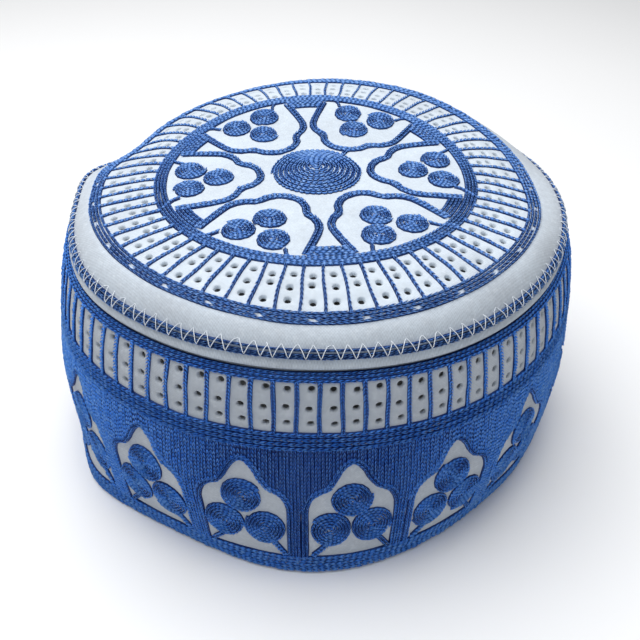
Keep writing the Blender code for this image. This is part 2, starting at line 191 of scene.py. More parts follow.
def cloth(azimuths, stations):
    """Points on the outer face of the cloth, which runs from the crown's middle to the base."""
    rim, belly, base, drop, inner, ring = around(azimuths)
    rim, belly, base = rim * RIM_RADIUS, belly * BELLY_RADIUS, base * BASE_RADIUS
    inner, ring = CROWN_HEIGHT + RIM_DROP * inner, CROWN_HEIGHT + RIM_DROP * ring
    rim_height = CROWN_HEIGHT - RIM_DROP * drop
    one = np.ones(len(azimuths))
    dome = CROWN_HEIGHT + DOME_SHARE * (inner - CROWN_HEIGHT)
    margin = ring + MARGIN_DOWN * (rim_height - ring)
    radii = [0 * one, 0.5 * INNER_RING * RING_RADIUS * one, INNER_RING * RING_RADIUS * one, RING_RADIUS * one,
             RING_RADIUS + MARGIN_OUT * (rim - RING_RADIUS)]
    heights = [CROWN_HEIGHT * one, dome, inner, ring, margin]
    places = [0.0, 0.5 * INNER_RING, INNER_RING, 1.0, MIDDLE_OF_MARGIN]
    for station, down, to_belly, to_base in WALL:
        places.append(station)
        radii.append(rim + (belly - rim) * to_belly + (base - belly) * to_base)
        heights.append(rim_height * (1 - down))
    places = np.array(places)
    radius = smooth_through(places, np.array(radii), stations)
    height = smooth_through(places, np.array(heights), stations)
    for middle, spread, at, reach, out, up in DENTS:
        off = (azimuths - middle + 180) % 360 - 180
        push = np.exp(-((off / spread) ** 2) - ((stations - at) / reach) ** 2)
        radius = radius + out * BELLY_RADIUS * push
        height = height + up * CROWN_HEIGHT * push
    angle = np.radians(azimuths)
    return np.stack((CROWN_X + radius * np.sin(angle), CROWN_Y - radius * np.cos(angle), height), 1)


def above_cloth(azimuths, stations, lift=0.0):
    """Points at a height above the cloth's outer face, and the face's normals there."""
    azimuths, stations = (np.asarray(v, float) for v in np.broadcast_arrays(azimuths, stations))
    here = cloth(azimuths, stations)
    low, high = np.maximum(stations - NEAR, 0), np.minimum(stations + NEAR, BASE)
    down = cloth(azimuths, high) - cloth(azimuths, low)
    along = cloth(azimuths + 0.5, stations) - cloth(azimuths - 0.5, stations)
    normal = np.cross(down, along)
    normal[stations < NEAR] = (0, 0, 1)
    normal /= np.linalg.norm(normal, axis=1)[:, None]
    return here + np.asarray(lift, float).reshape(-1, 1) * normal, normal


def puffed(azimuths, stations, columns, first, from_station, to_station):
    """Lift of the cloth where it swells between the stitched lines, and its shallow creases."""
    swell = 0.5 - 0.5 * np.cos(np.radians((azimuths - first) * columns))
    reach = np.clip((stations - from_station) / 0.03, 0, 1) * np.clip((to_station - stations) / 0.03, 0, 1)
    a, s = np.radians(azimuths), stations
    creases = (np.sin(9 * a + 14 * s) * np.sin(31 * s + 4 * a) + 0.6 * np.sin(23 * a - 19 * s + 1.3)
               + 0.4 * np.sin(53 * a + 41 * s) * np.sin(37 * s - 29 * a))
    return PUFF * swell * reach + CREASE * creases * np.clip(s / 0.15, 0, 1)


EYELET_RADIUS = 0.00088
EYELET_FUNNEL = ((1.0, -0.00120), (1.18, -0.00060), (1.38, -0.00018), (1.70, 0.00004))  # shares of it, lift
CELL = 4  # grid steps along each side of an eyelet's cell


def pierced_sheet(name, columns, first, stations, eyelets, lift_at):
    """Sheet of cloth all the way round, on a grid of columns and stations, with its eyelets cut through.

    eyelets are (row, column, azimuth, station): the cell's first corner on the grid, and its middle.
    """
    places, faces, on_grid = [], [], {}

    def corner(row, column):
        key = (row, column % columns)
        if key not in on_grid:
            on_grid[key] = len(places)
            places.append((first + 360 * key[1] / columns, stations[row], 0.0))
        return on_grid[key]

    cell = [(r, c) for r in range(CELL) for c in range(CELL)]
    taken = {(row + r, (column + c) % columns) for row, column, _, _ in eyelets for r, c in cell}
    for r in range(len(stations) - 1):
        for c in range(columns):
            if (r, c) not in taken:
                faces.append((corner(r, c), corner(r, c + 1), corner(r + 1, c + 1), corner(r + 1, c)))
    for row, column, azimuth, station in eyelets:
        edge = [(row, column + k) for k in range(CELL)]
        edge += [(row + k, column + CELL) for k in range(CELL)]
        edge += [(row + CELL, column + CELL - k) for k in range(CELL)]
        edge += [(row + CELL - k, column) for k in range(CELL)]
        outer = [corner(r, c) for r, c in edge]
        spot = cloth(np.array([azimuth]), np.array([station]))[0]
        degree = math.hypot(spot[0] - CROWN_X, spot[1] - CROWN_Y) * math.radians(1)
        angles = []
        for r, c in edge:
            across = (first + 360 * c / columns - azimuth) * degree
            angles.append(math.atan2((stations[r] - station) * RING_RADIUS, across))
        rings = [outer]
        for share, lift in reversed(EYELET_FUNNEL):
            ring = []
            for angle in angles:
                x = share * EYELET_RADIUS * math.cos(angle)
                y = share * EYELET_RADIUS * math.sin(angle)
                ring.append(len(places))
                places.append((azimuth + x / degree, station + y / RING_RADIUS, lift))
            rings.append(ring)
        for near, far in zip(rings, rings[1:]):
            for k in range(len(near)):
                m = (k + 1) % len(near)
                faces.append((near[k], near[m], far[m], far[k]))
    azimuths, downs, lifts = np.array(places).T
    points, _ = above_cloth(azimuths, downs, lifts + lift_at(azimuths, downs))
    points[downs >= BASE, 2] = 0.0
    mesh = bpy.data.meshes.new(name)
    mesh.from_pydata(points.tolist(), [], faces)
    mesh.attributes.new("station", "FLOAT", "POINT").data.foreach_set("value", downs)
    return mesh


def settled(worked_object):
    """The mesh that an object's modifiers make; the object itself goes."""
    result = worked_object.evaluated_get(bpy.context.evaluated_depsgraph_get())
    mesh = bpy.data.meshes.new_from_object(result)
    bpy.data.objects.remove(worked_object)
    return mesh


def thickened(name, mesh, material):
    """Gives a one-sided sheet its thickness, inwards, and makes the finished piece of it."""
    bm = bmesh.new()
    bm.from_mesh(mesh)
    bmesh.ops.remove_doubles(bm, verts=bm.verts, dist=0.000001)
    bmesh.ops.recalc_face_normals(bm, faces=bm.faces)
    outwards = sum((f.normal.z + f.normal.dot(f.calc_center_median())) * f.calc_area() for f in bm.faces)
    if outwards < 0:
        bmesh.ops.reverse_faces(bm, faces=bm.faces)
    bm.to_mesh(mesh)
    bm.free()
    mesh.shade_smooth()
    sheet = linked(name + "_sheet", mesh)
    layer = sheet.modifiers.new("two layers", "SOLIDIFY")
    layer.thickness = CLOTH
    layer.offset = -1
    solid = settled(sheet)
    for vertex in solid.vertices:
        vertex.co.z = max(vertex.co.z, 0.0)
    solid.set_sharp_from_angle(angle=math.radians(50))
    return dressed(name, solid, material)


def dressed(name, mesh, material):
    """Names a finished mesh, gives it its one material and lets it ride on the cap."""
    mesh.name = name
    mesh.materials.clear()
    mesh.materials.append(material)
    piece = linked(name, mesh)
    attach(piece, "root")
    return piece


def shader_group(name, inputs, outputs):
    """Empty shader node group with named sockets: inputs are (name, kind, value)."""
    tree = bpy.data.node_groups.new(name, "ShaderNodeTree")
    for label, kind, value in inputs:
        socket = tree.interface.new_socket(label, in_out="INPUT", socket_type="NodeSocket" + kind)
        socket.default_value = value
    for label, kind in outputs:
        tree.interface.new_socket(label, in_out="OUTPUT", socket_type="NodeSocket" + kind)
    return tree, tree.nodes.new("NodeGroupInput").outputs, tree.nodes.new("NodeGroupOutput").inputs


def math_node(tree, operation, *values):
    """Math node fed with numbers or sockets; gives back its output."""
    node = tree.nodes.new("ShaderNodeMath")
    node.operation = operation
    for socket, value in zip(node.inputs, values):
        if isinstance(value, (int, float)):
            socket.default_value = value
        else:
            tree.links.new(value, socket)
    return node.outputs[0]


def mix_colours(tree, share, first, second, blend="MIX"):
    """Mix node for two colours; each value is a socket, a colour or a number."""
    node = tree.nodes.new("ShaderNodeMix")
    node.data_type = "RGBA"
    node.blend_type = blend
    for socket, value in ((node.inputs[0], share), (node.inputs[6], first), (node.inputs[7], second)):
        if isinstance(value, (int, float, tuple)):
            socket.default_value = value
        else:
            tree.links.new(value, socket)
    return node.outputs[2]


def stretched(tree, value, low, high, kind="LINEAR"):
    """The value as a share of the way from low to high, 0 to 1."""
    levels = tree.nodes.new("ShaderNodeMapRange")
    levels.interpolation_type = kind
    levels.inputs["From Min"].default_value = low
    levels.inputs["From Max"].default_value = high
    tree.links.new(value, levels.inputs["Value"])
    return levels.outputs[0]


def attribute(tree, name):
    """A number stored on the mesh."""
    node = tree.nodes.new("ShaderNodeAttribute")
    node.attribute_name = name
    return node.outputs["Fac"]


def cloudy(tree, place, scale, detail, low, high):
    """Noise stretched between two of its own levels, 0 to 1."""
    noise = tree.nodes.new("ShaderNodeTexNoise")
    noise.inputs["Scale"].default_value = scale
    noise.inputs["Detail"].default_value = detail
    tree.links.new(place, noise.inputs["Vector"])
    return stretched(tree, noise.outputs[0], low, high)


def object_place(tree):
    """Place on the object, in metres."""
    return tree.nodes.new("ShaderNodeTexCoord").outputs["Object"]


def make_handling_group():
    """Uneven grey film that cloth and thread pick up with wear: a mask from 0, clean, to 1."""
    sizes = (("Broad Size", "Float", 45.0), ("Fine Size", "Float", 420.0))
    tree, given, put = shader_group("handling", sizes, (("Mask", "Float"),))
    place = object_place(tree)
    masks = []
    for size in ("Broad Size", "Fine Size"):
        noise = tree.nodes.new("ShaderNodeTexNoise")
        noise.inputs["Detail"].default_value = 4
        tree.links.new(place, noise.inputs["Vector"])
        tree.links.new(given[size], noise.inputs["Scale"])
        masks.append(noise.outputs[0])
    fine = math_node(tree, "MULTIPLY", masks[1], 0.4)
    both = math_node(tree, "ADD", math_node(tree, "MULTIPLY", masks[0], 0.6), fine)
    tree.links.new(stretched(tree, both, 0.38, 0.64), put["Mask"])
    return tree


def make_weave_group():
    """Plain weave with slubs: place counts yarns across and along. Height 0 to 1, and a mask of slubs."""
    tree, given, put = shader_group("plain_weave", (("Across", "Float", 0.0), ("Along", "Float", 0.0)),
                                    (("Height", "Float"), ("Slubs", "Float")))
    across, along = (math_node(tree, "SINE", math_node(tree, "MULTIPLY", given[side], math.pi))
                     for side in ("Across", "Along"))
    over = math_node(tree, "MULTIPLY", across, along)
    place = object_place(tree)
    grain = cloudy(tree, place, 1500, 3, 0.3, 0.7)
    woven = math_node(tree, "MULTIPLY_ADD", over, 0.25, 0.35)
    tree.links.new(math_node(tree, "ADD", woven, math_node(tree, "MULTIPLY", grain, 0.4)), put["Height"])
    tree.links.new(cloudy(tree, place, 620, 2, 0.56, 0.68), put["Slubs"])
    return tree


handling_group, weave_group = make_handling_group(), make_weave_group()
YARN = 0.00042


def placed(tree, group):
    """A shared group's node in a material."""
    node = tree.nodes.new("ShaderNodeGroup")
    node.node_tree = group
    return node


def bump(tree, height, distance, strength):
    """Bump node on a height, in metres."""
    node = tree.nodes.new("ShaderNodeBump")
    node.inputs["Distance"].default_value = distance
    node.inputs["Strength"].default_value = strength
    tree.links.new(height, node.inputs["Height"])
    return node.outputs[0]


def cotton(name, clean, worn, grey_from, grey_to, round_side):
    """Starched cotton: weave, slubs, a grey film of handling, greyer cloth past grey_to, and painted shade in
    the weave's low places.
    """
    material = bpy.data.materials.new(name)
    material.use_nodes = True
    tree = material.node_tree
    shader = tree.nodes["Principled BSDF"]
    shader.inputs["Roughness"].default_value = 0.85
    shader.inputs["Sheen Weight"].default_value = 0.12
    shader.inputs["Specular IOR Level"].default_value = 0.25
    split = tree.nodes.new("ShaderNodeSeparateXYZ")
    tree.links.new(object_place(tree), split.inputs[0])
    x, y, z = split.outputs
    weave = placed(tree, weave_group)
    if round_side:
        turn_about = math_node(tree, "ARCTAN2", math_node(tree, "SUBTRACT", x, CROWN_X),
                               math_node(tree, "SUBTRACT", CROWN_Y, y))
        yarns = round(2 * math.pi * BELLY_RADIUS / YARN / 2) * 2
        tree.links.new(math_node(tree, "MULTIPLY", turn_about, yarns / (2 * math.pi)), weave.inputs["Across"])
        tree.links.new(math_node(tree, "DIVIDE", z, YARN), weave.inputs["Along"])
    else:
        tree.links.new(math_node(tree, "DIVIDE", x, YARN), weave.inputs["Across"])
        tree.links.new(math_node(tree, "DIVIDE", y, YARN), weave.inputs["Along"])
    film = placed(tree, handling_group)
    zone = stretched(tree, attribute(tree, "station"), grey_from, grey_to, "SMOOTHSTEP")
    handled = math_node(tree, "MULTIPLY", film.outputs["Mask"], 0.45)
    greyed = math_node(tree, "MULTIPLY_ADD", zone, 0.55, handled)
    colour = mix_colours(tree, greyed, clean, worn)
    slubs = math_node(tree, "MULTIPLY", weave.outputs["Slubs"], 0.10)
    colour = mix_colours(tree, slubs, colour, (0.92, 0.95, 0.97, 1))
    # Painted shade: the colour darkens where the weave is low, and its noise also speckles the cloth.
    shade = math_node(tree, "MULTIPLY_ADD", weave.outputs["Height"], 0.30, 0.80)
    tree.links.new(mix_colours(tree, 1.0, colour, shade, "MULTIPLY"), shader.inputs["Base Color"])
    tree.links.new(bump(tree, weave.outputs["Height"], 0.00012, 0.55), shader.inputs["Normal"])
    return material


crown_cotton = cotton("crown_cotton", (0.61, 0.68, 0.75, 1), (0.46, 0.50, 0.55, 1), 0.985, 1.02, False)
EDGE_WIDTH, EDGE_FALL = 0.009, 0.0007  # how the cut edge is rounded: stations, and metres down
SPOKE_REACH = (0.735, 0.935)
CROWN_BANDS = ((0.735, 0.796), (0.796, 0.861), (0.861, 0.930))
CROWN_EYELETS = ((0.5, 0.767), (0.5, 0.825), (0.5, 0.897))
draw = np.random.default_rng(7)


def banded(bands):
    """Stations of the grid's rows through bands that are one eyelet's cell deep."""
    return [start + (end - start) * k / CELL for start, end in bands for k in range(CELL)]


def eyelets_between(count, first, first_row, places, stagger, jitter):
    """Eyelets in each space between two lines; places are (share of the space, station)."""
    eyelets = []
    for space in range(count):
        for band, (share, station) in enumerate(places):
            azimuth = first + 360 / count * (space + share + draw.uniform(-0.05, 0.05))
            shift = stagger * ((space + band) % 2 - 0.5)
            eyelets.append((first_row + CELL * band, CELL * space, azimuth,
                            station + shift + draw.uniform(-jitter, jitter)))
    return eyelets


crown_stations = [0.0, 0.02, 0.06, 0.12, 0.18, 0.24, 0.30, 0.36, 0.42, 0.48, 0.54, 0.60, 0.64, 0.68, 0.71]
first_band_row = len(crown_stations)
crown_stations += banded(CROWN_BANDS)
crown_stations += [0.930, 0.945, 0.965, 0.985, 1.00, 1.02, 1.04, 1.06, 1.08, 1.095, 1.11, 1.125, 1.14, 1.15,
                   1.158, 1.1625, 1.165, EDGE_OF_CROWN]
crown_eyelets = eyelets_between(SPOKES, FIRST_SPOKE, first_band_row, CROWN_EYELETS, 0.010, 0.004)


def crown_lift(azimuths, stations):
    """The crown's own relief: puffed between the spokes, and rounded down to its cut edge."""
    between = puffed(azimuths, stations, SPOKES, FIRST_SPOKE, *SPOKE_REACH)
    past = np.clip(stations - (EDGE_OF_CROWN - EDGE_WIDTH), 0, 1) / (EDGE_WIDTH + 0.0005)
    return between - EDGE_FALL * (1 - np.sqrt(np.clip(1 - past ** 2, 0, 1)))


crown_sheet = pierced_sheet("crown", SPOKES * CELL, FIRST_SPOKE, crown_stations, crown_eyelets, crown_lift)
crown_cloth = thickened("crown_cloth", crown_sheet, crown_cotton)
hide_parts("crown_panel")

# Side cloth
# The wall: a band of the same cotton, greyer with wear and darker than the crown's as painted shade, sewn up
# under the crown's turned edge.
# Three punched eyelets stand in each space between two bars.
BARS = 85
FIRST_BAR = 0.9
TUCK_END = 1.215
BAR_REACH = (1.215, 1.445)
SIDE_BANDS = ((1.220, 1.284), (1.284, 1.360), (1.360, 1.440))
SIDE_EYELETS = ((0.64, 1.247), (0.58, 1.321), (0.63, 1.399))

# Painted shade: the side's cotton colours are darker than the crown's, because the upright wall gets less
# light.
side_cotton = cotton("side_cotton", (0.48, 0.51, 0.55, 1), (0.38, 0.41, 0.45, 1), 2.05, 2.30, True)
side_stations = [1.09, 1.12, 1.145, 1.160, 1.170, 1.180, 1.190, 1.200, 1.210]
first_side_row = len(side_stations)
side_stations += banded(SIDE_BANDS)
side_stations += [1.440, 1.46, 1.49] + [1.52 + 0.03 * k for k in range(25)] + [BASE]
side_eyelets = eyelets_between(BARS, FIRST_BAR, first_side_row, SIDE_EYELETS, 0.0, 0.005)


def side_lift(azimuths, stations):
    """Tucked under the crown at its top, puffed between the bars."""
    tuck = np.interp(stations, (EDGE_OF_CROWN, TUCK_END), (-(CLOTH + LAP_GAP), 0.0))
    return tuck + puffed(azimuths, stations, BARS, FIRST_BAR, *BAR_REACH)


side_sheet = pierced_sheet("side", BARS * CELL, FIRST_BAR, side_stations, side_eyelets, side_lift)
side_cloth = thickened("side_cloth", side_sheet, side_cotton)
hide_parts("side_band")

# Medallion
# The spiral in the middle of the crown: one long chain-stitched row in blue cotton thread. Its
# loops are open in the middle.
MM = 0.001
ROW_LIFT = 0.00012


def stitch_shape(name, run, thick):
    """One loop of thread, one unit long and wide: two strands from its tail to its head.

    run is (along, out, rise) from tail to head; the strands are closed and have few faces.
    """
    bm = bmesh.new()
    # crest runs from 0 at a strand's foot to 1 on its ridge; the thread shader paints shade and highlights by
    # it.
    crest = bm.verts.layers.float.new("crest")
    for side in (1, -1):
        rings = []
        for k, (along, out, rise) in enumerate(run):
            if k in (0, len(run) - 1):
                ring = [bm.verts.new((along, side * out, rise))]
                ring[0][crest] = 0.62
            else:
                ring = [bm.verts.new((along, side * (out + aside), up))
                        for aside, up in ((0.0, rise), (thick, 0.0), (-thick, 0.0))]
                ring[0][crest] = 1.0
            rings.append(ring)
        for near, far in zip(rings, rings[1:]):
            for j in range(3):
                m = j + 1
                quad = (near[j % len(near)], near[m % len(near)], far[m % len(far)], far[j % len(far)])
                bm.faces.new(list(dict.fromkeys(quad)))
    bmesh.ops.recalc_face_normals(bm, faces=bm.faces)
    mesh = bpy.data.meshes.new(name)
    bm.to_mesh(mesh)
    bm.free()
    mesh.shade_smooth()
    shape = linked(name, mesh)
    shape.hide_render = True
    return shape


nested_loop = stitch_shape("nested_loop", ((-0.62, 0.03, 0.80), (0.02, 0.22, 1.0), (0.70, 0.38, 0.65)), 0.10)
EYE = ((-0.60, 0.05, 0.55), (-0.20, 0.37, 1.0), (0.22, 0.37, 1.0), (0.60, 0.06, 0.6))
eye_loop = stitch_shape("eye_loop", EYE, 0.095)


def geometry_tree(name, inputs):
    """Empty Geometry Nodes tree that works on guide rows, and a function that adds nodes to it."""
    tree = bpy.data.node_groups.new(name, "GeometryNodeTree")
    for label, kind in (("Rows", "Geometry"), *inputs):
        tree.interface.new_socket(label, in_out="INPUT", socket_type="NodeSocket" + kind)
    tree.interface.new_socket("Work", in_out="OUTPUT", socket_type="NodeSocketGeometry")

    def node(kind, links=(), **values):
        made = tree.nodes.new(kind)
        for key, value in values.items():
            setattr(made, key, value)
        for socket, source in links:
            if isinstance(source, bpy.types.NodeSocket):
                tree.links.new(source, made.inputs[socket])
            else:
                made.inputs[socket].default_value = source
        return made

    return tree, tree.nodes.new("NodeGroupInput").outputs, tree.nodes.new("NodeGroupOutput").inputs, node


def make_chain_stitch_tree():
    """Geometry Nodes: lays chain stitches along guide rows, over a low strip of pulled thread that has no
    crest, so the thread shader paints it all in shade.
    """
    sizes = [(label, "Float") for label in ("Pitch", "Width", "Height", "Strip Width", "Strip Height")]
    others = (("Seed", "Int"), ("Stitch", "Object"), ("Thread", "Material"))
    tree, given, put, node = geometry_tree("chain_stitch_rows", (*sizes, *others))
    curve = node("GeometryNodeMeshToCurve", (("Mesh", given["Rows"]),))
    up = node("GeometryNodeInputNamedAttribute", (("Name", "up"),), data_type="FLOAT_VECTOR")
    girth = node("GeometryNodeInputNamedAttribute", (("Name", "girth"),), data_type="FLOAT")
    spaced = node("GeometryNodeResampleCurve",
                  (("Curve", curve.outputs[0]), ("Length", given["Pitch"])), mode="LENGTH")
    tangent = node("GeometryNodeInputTangent")
    facing = node("FunctionNodeAxesToRotation",
                  (("Primary Axis", tangent.outputs[0]), ("Secondary Axis", up.outputs[0])),
                  primary_axis="X", secondary_axis="Z")
    sway = node("FunctionNodeRandomValue",
                ((2, -0.10), (3, 0.10), ("Seed", given["Seed"])), data_type="FLOAT")
    swayed = node("FunctionNodeAxisAngleToRotation", (("Axis", (0, 0, 1)), ("Angle", sway.outputs[1])))
    facing = node("FunctionNodeRotateRotation",
                  (("Rotation", facing.outputs[0]), ("Rotate By", swayed.outputs[0])), rotation_space="LOCAL")
    wide = node("ShaderNodeMath", ((0, given["Width"]), (1, girth.outputs[0])), operation="MULTIPLY")
    size = node("ShaderNodeCombineXYZ", ((0, given["Pitch"]), (1, wide.outputs[0]), (2, given["Height"])))
    other_seed = node("ShaderNodeMath", ((0, given["Seed"]), (1, 17.0)), operation="ADD")
    uneven = node("FunctionNodeRandomValue",
                  ((0, (0.92, 0.90, 0.82)), (1, (1.08, 1.08, 1.14)), ("Seed", other_seed.outputs[0])),
                  data_type="FLOAT_VECTOR")
    sized = node("ShaderNodeVectorMath", ((0, size.outputs[0]), (1, uneven.outputs[0])), operation="MULTIPLY")
    stitch = node("GeometryNodeObjectInfo", (("Object", given["Stitch"]),))
    laid = node("GeometryNodeInstanceOnPoints",
                (("Points", spaced.outputs[0]), ("Instance", stitch.outputs["Geometry"]),
                 ("Rotation", facing.outputs[0]), ("Scale", sized.outputs[0])))
    shade = node("FunctionNodeRandomValue",
                 ((2, 0.0), (3, 1.0), ("Seed", other_seed.outputs[0])), data_type="FLOAT")
    toned = node("GeometryNodeStoreNamedAttribute",
                 (("Geometry", laid.outputs[0]), ("Name", "tone"), ("Value", shade.outputs[1])),
                 data_type="FLOAT", domain="INSTANCE")
    real = node("GeometryNodeRealizeInstances", (("Geometry", toned.outputs[0]),))
    # The strip takes the painted-shade colour all over, as the dark in the gaps between the loops.
    coarse = node("ShaderNodeMath", ((0, given["Pitch"]), (1, 1.7)), operation="MULTIPLY")
    strip_path = node("GeometryNodeResampleCurve",
                      (("Curve", curve.outputs[0]), ("Length", coarse.outputs[0])), mode="LENGTH")
    stood = node("GeometryNodeSetCurveNormal",
                 (("Curve", strip_path.outputs[0]), ("Normal", up.outputs[0])), mode="FREE")
    three = node("GeometryNodeCurvePrimitiveCircle", (("Resolution", 3), ("Radius", 1.0)))
    half = node("ShaderNodeMath", ((0, given["Strip Width"]), (1, 0.577)), operation="MULTIPLY")
    section = node("ShaderNodeCombineXYZ", ((0, given["Strip Height"]), (1, half.outputs[0]), (2, 1.0)))
    profile = node("GeometryNodeTransform", (("Geometry", three.outputs[0]), ("Scale", section.outputs[0])))
    strip = node("GeometryNodeCurveToMesh",
                 (("Curve", stood.outputs[0]), ("Profile Curve", profile.outputs[0]), ("Fill Caps", True)))
    joined = node("GeometryNodeJoinGeometry")
    tree.links.new(real.outputs[0], joined.inputs[0])
    tree.links.new(strip.outputs[0], joined.inputs[0])
    finished = node("GeometryNodeSetMaterial",
                    (("Geometry", joined.outputs[0]), ("Material", given["Thread"])))
    tree.links.new(finished.outputs[0], put[0])
    return tree


chain_stitch_tree = make_chain_stitch_tree()


def guide(name, rows):
    """Mesh of edges for the stitches to follow. rows are (points, normals, girths, closed)."""
    starts = np.cumsum([0] + [len(row[0]) for row in rows])
    edges = []
    for start, row in zip(starts, rows):
        count = len(row[0])
        edges += [(start + k, start + k + 1) for k in range(count - 1)]
        if row[3]:
            edges.append((start + count - 1, start))
    mesh = bpy.data.meshes.new(name)
    mesh.from_pydata(np.vstack([row[0] for row in rows]).tolist(), edges, [])
    ups = np.vstack([row[1] for row in rows])
    mesh.attributes.new("up", "FLOAT_VECTOR", "POINT").data.foreach_set("vector", ups.ravel())
    girths = np.concatenate([np.broadcast_to(row[2], len(row[0])) for row in rows])
    mesh.attributes.new("girth", "FLOAT", "POINT").data.foreach_set("value", girths)
    return linked(name, mesh)


def worked(name, tree, rows, material, **sizes):
    """Runs a Geometry Nodes tree over guide rows and keeps its result as a plain piece."""
    lines = guide(name + "_rows", rows)
    modifier = lines.modifiers.new("work", "NODES")
    modifier.node_group = tree
    for item in tree.interface.items_tree:
        if item.in_out == "INPUT" and item.name in sizes:
            modifier[item.identifier] = sizes[item.name]
    return dressed(name, settled(lines), material)


def stitched(name, rows, thread, seed, pitch, width, height=0.85, strip=0.8, strip_height=0.32,
             loop=nested_loop):
    """A piece of chain stitching along rows: its loops' sizes in mm, and its strip's share of their width."""
    piece = worked(name, chain_stitch_tree, rows, thread,
                   **{"Pitch": pitch * MM, "Width": width * MM, "Height": height * MM,
                      "Strip Width": strip * (width * MM), "Strip Height": strip_height * MM,
                      "Stitch": loop, "Thread": thread, "Seed": seed})
    return piece


def row_on_cloth(azimuths, stations, lift=ROW_LIFT, girth=1.0, closed=False):
    """A guide row laid on the cloth."""
    points, normals = above_cloth(azimuths, stations, lift)
    return points, normals, girth, closed


def ring_row(station, lift=ROW_LIFT, girth=1.0):
    """A guide row all the way round; each starts elsewhere, so that stitches don't line up."""
    azimuths = np.arange(0, 360, 2.0) + 997 * station % 2
    return row_on_cloth(azimuths, np.full(len(azimuths), station), lift, girth, True)


def crown_place(x, y):
    """Azimuth and station of plan points on the crown, in shares of the spoke ring's radius."""
    return np.degrees(np.arctan2(x, -y)), np.hypot(x, y)


def make_thread_group():
    """Blue spun thread: painted shade between the strands, painted highlights on their crests, a little
    uneven by the stitch.
    """
    colours = [(label, "Color", (0, 0, 0, 1)) for label in ("Deep", "Body", "Light")]
    tree, given, put = shader_group("spun_thread", colours, (("Color", "Color"), ("Height", "Float")))
    crest, tone = attribute(tree, "crest"), attribute(tree, "tone")
    place = object_place(tree)
    # Painted shade: the Deep colour where the crest is low, at the strands' feet and in the gaps, fading to
    # the body colour.
    rise = stretched(tree, crest, 0.02, 0.62, "SMOOTHSTEP")
    # Painted highlight: the Light colour on the crests, stronger on some stitches than on others.
    shine = stretched(tree, crest, 0.45, 1.0)
    painted_glint = math_node(tree, "MULTIPLY", shine, math_node(tree, "MULTIPLY_ADD", tone, 0.80, 0.20))
    fibre = cloudy(tree, place, 2600, 2, 0.3, 0.7)
    painted_highlight_share = math_node(tree, "MULTIPLY", painted_glint, math_node(tree, "MULTIPLY_ADD", fibre, 0.6, 0.4))
    body = mix_colours(tree, painted_highlight_share, given["Body"], given["Light"])
    tree.links.new(mix_colours(tree, rise, given["Deep"], body), put["Color"])
    tree.links.new(fibre, put["Height"])
    return tree


thread_group = make_thread_group()


def thread_material(name, deep, body, light, film, roughness):
    """Cotton thread with its film of wear: deep is the colour of its painted shade, light of its painted
    highlight.
    """
    material = bpy.data.materials.new(name)
    material.use_nodes = True
    tree = material.node_tree
    shader = tree.nodes["Principled BSDF"]
    shader.inputs["Specular IOR Level"].default_value = 0.22
    shader.inputs["Roughness"].default_value = roughness
    spun = placed(tree, thread_group)
    for label, colour in (("Deep", deep), ("Body", body), ("Light", light)):
        spun.inputs[label].default_value = colour
    handled = placed(tree, handling_group)
    share = math_node(tree, "MULTIPLY", handled.outputs["Mask"], 0.22)
    colour = mix_colours(tree, share, spun.outputs["Color"], film)
    tree.links.new(colour, shader.inputs["Base Color"])
    tree.links.new(bump(tree, spun.outputs["Height"], 0.00008, 0.5), shader.inputs["Normal"])
    return material


# Each thread's first colour is painted shade for the gaps, the second its own colour, the third a painted
# highlight for the crests.
crown_thread = thread_material("crown_thread", (0.004, 0.020, 0.115, 1), (0.048, 0.175, 0.550, 1),
                               (0.400, 0.640, 1.000, 1), (0.13, 0.29, 0.66, 1), 0.5)
side_thread = thread_material("side_thread", (0.002, 0.014, 0.110, 1), (0.034, 0.225, 0.860, 1),
                              (0.380, 0.680, 1.000, 1), (0.09, 0.26, 0.72, 1), 0.5)

MEDALLION_TURNS = 8.5
MEDALLION_CENTRE = (-0.006, 0.067)
MEDALLION_WIDE = 0.192  # these two are shares of RING_RADIUS
sweep = np.linspace(0, 2 * math.pi * MEDALLION_TURNS, 900)
outline = MEDALLION_WIDE * (1 + 0.035 * np.exp(-(((np.degrees(sweep) % 360) - 128) / 16) ** 2)
                            + 0.02 * np.exp(-(((np.degrees(sweep) % 360) - 3) / 18) ** 2))
share = np.clip((sweep + 1.2) / (2 * math.pi * MEDALLION_TURNS + 1.2 - 3.0), 0, 1)
spiral_x = MEDALLION_CENTRE[0] * (1 - share) + outline * share * np.cos(sweep)
spiral_y = MEDALLION_CENTRE[1] * (1 - share) + outline * share * np.sin(sweep)
spacing = np.hypot(outline * np.cos(sweep) - MEDALLION_CENTRE[0],
                   outline * np.sin(sweep) - MEDALLION_CENTRE[1]) / MEDALLION_TURNS
azimuth, station = crown_place(spiral_x, spiral_y)
girth = spacing * RING_RADIUS / (1.9 * MM)
girth = girth * np.interp(sweep / (2 * math.pi), (0, 1, 2, 3), (0.80, 0.62, 0.75, 0.93))
medallion_rows = [row_on_cloth(azimuth, station, girth=girth)]
link_x, link_y = np.linspace(0.115, 0.150, 6), np.linspace(0.150, 0.215, 6)
medallion_rows.append(row_on_cloth(*crown_place(link_x, link_y), girth=0.8))
medallion = stitched("medallion_stitching", medallion_rows, crown_thread, 1, 1.9, 1.9,
                     strip=0.85, strip_height=0.2, loop=eye_loop)
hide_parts("crown_medallion")

# Crown lobes
# Six lobes stand round the medallion with their open feet on the inner ring. Each is drawn with
# two chain rows side by side.
LOBES = 6
LOBE_AZIMUTH = 95.0
LOBE_SIZE = 0.6519
LOBE = LOBE_SIZE * np.array((
    (0.920, 0.366), (0.720, 0.340), (0.614, 0.314), (0.549, 0.253),
    (0.518, 0.181), (0.445, 0.141), (0.393, 0.077), (0.376, 0.000),
))


